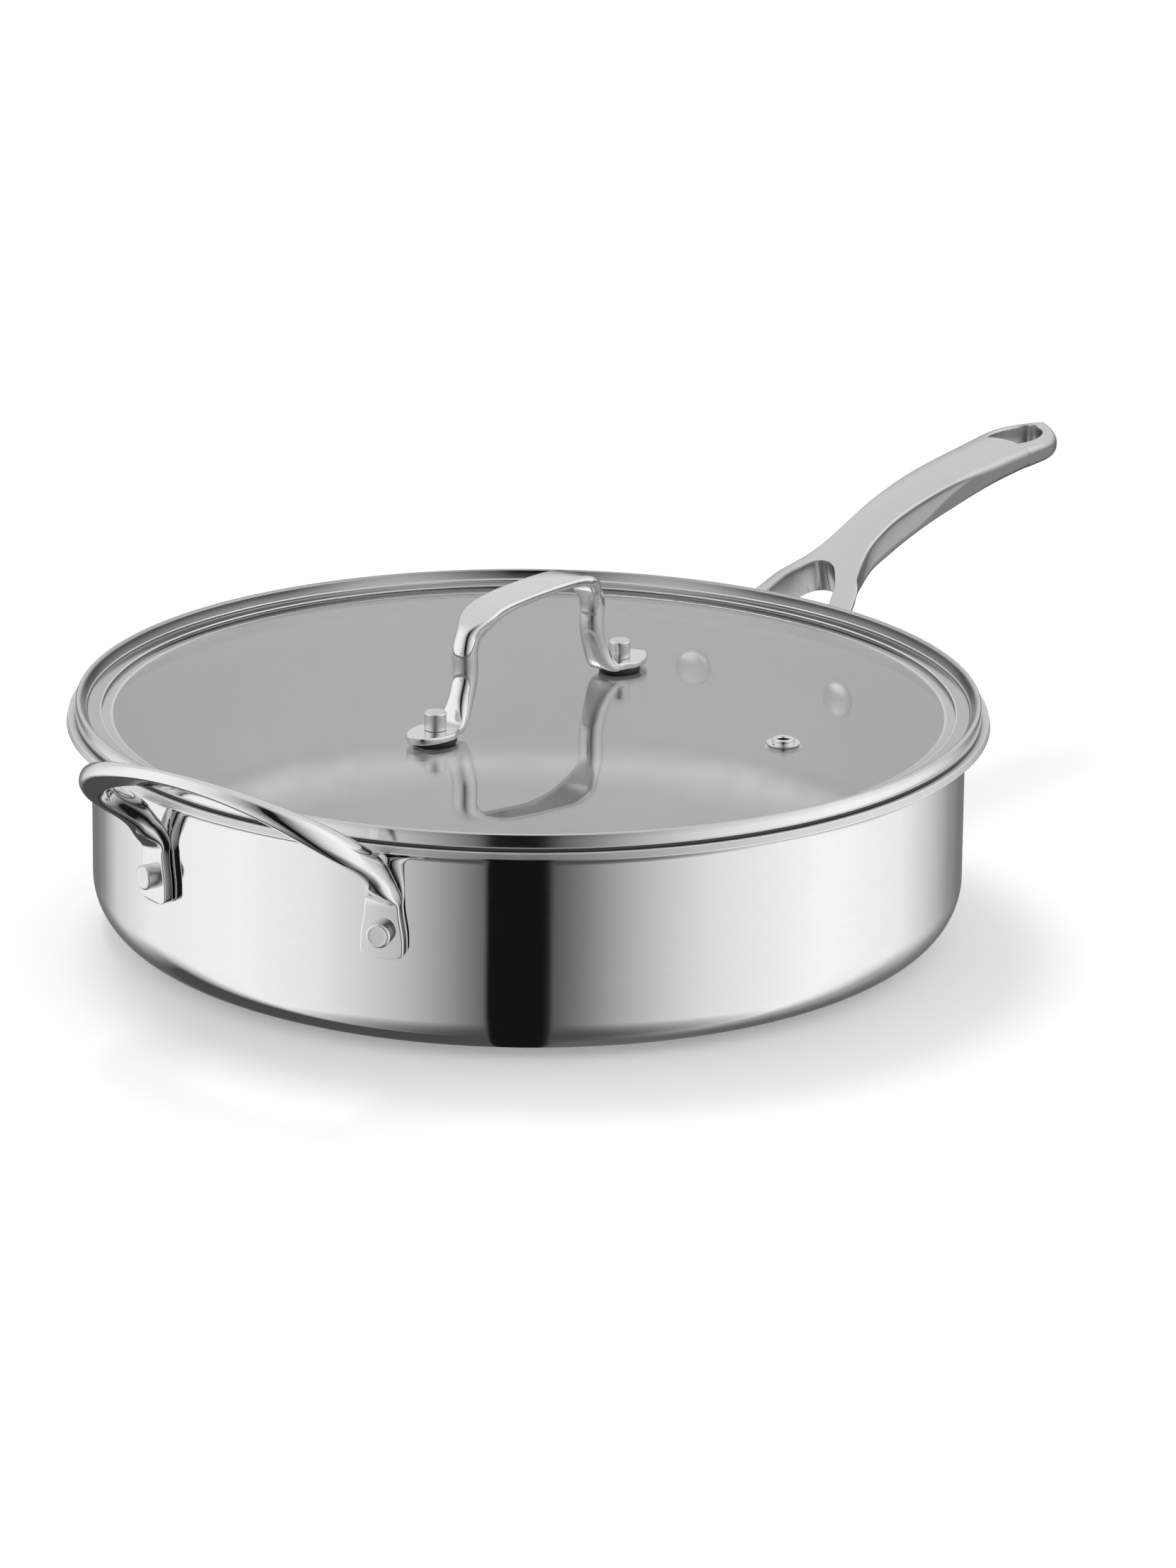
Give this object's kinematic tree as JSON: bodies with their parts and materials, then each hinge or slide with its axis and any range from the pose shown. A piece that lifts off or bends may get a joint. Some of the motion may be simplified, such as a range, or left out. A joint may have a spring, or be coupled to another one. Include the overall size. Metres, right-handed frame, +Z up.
{
  "type": "multi-pan with glass lid",
  "caption": "Straight-walled clad steel pan with a flared lip, a forked long handle, a loop helper handle and a lift-off glass lid with a steel band and a strap handle.",
  "frame": {"origin": "centre of the underside of the pan's flat base", "axes": "+X along the long handle, away from the pan; +Z up, through the lid"},
  "size_m": [0.4976, 0.3, 0.1131],
  "materials": {
    "polished_steel": "polished stainless steel",
    "satin_steel": "satin stainless steel",
    "rivet_steel": "pale satin stainless steel",
    "core_aluminium": "cut edge",
    "lid_glass": "clear tempered glass",
    "silicone": "matt dark silicone"
  },
  "bodies": {
    "pan": {"pan_outer_skin": "polished_steel", "pan_core": "core_aluminium", "pan_inner_skin": "satin_steel", "long_handle": "satin_steel", "long_handle_rivet_left": "rivet_steel", "long_handle_rivet_right": "rivet_steel", "helper_handle": "polished_steel", "helper_rivet_left": "rivet_steel", "helper_rivet_right": "rivet_steel"},
    "lid": {"lid_ring": "polished_steel", "lid_glass": "lid_glass", "lid_handle": "polished_steel", "lid_stud_front": "rivet_steel", "lid_stud_rear": "rivet_steel", "lid_gasket_front": "silicone", "lid_gasket_rear": "silicone", "lid_washer_front": "satin_steel", "lid_washer_rear": "satin_steel", "vent_eyelet": "polished_steel", "vent_washer": "satin_steel"}
  },
  "joints": [
    {"name": "lid_lift", "type": "slide", "parent": "pan", "child": "lid", "axis": [0, 0, 1], "range_m": [0, 0.15]}
  ]
}
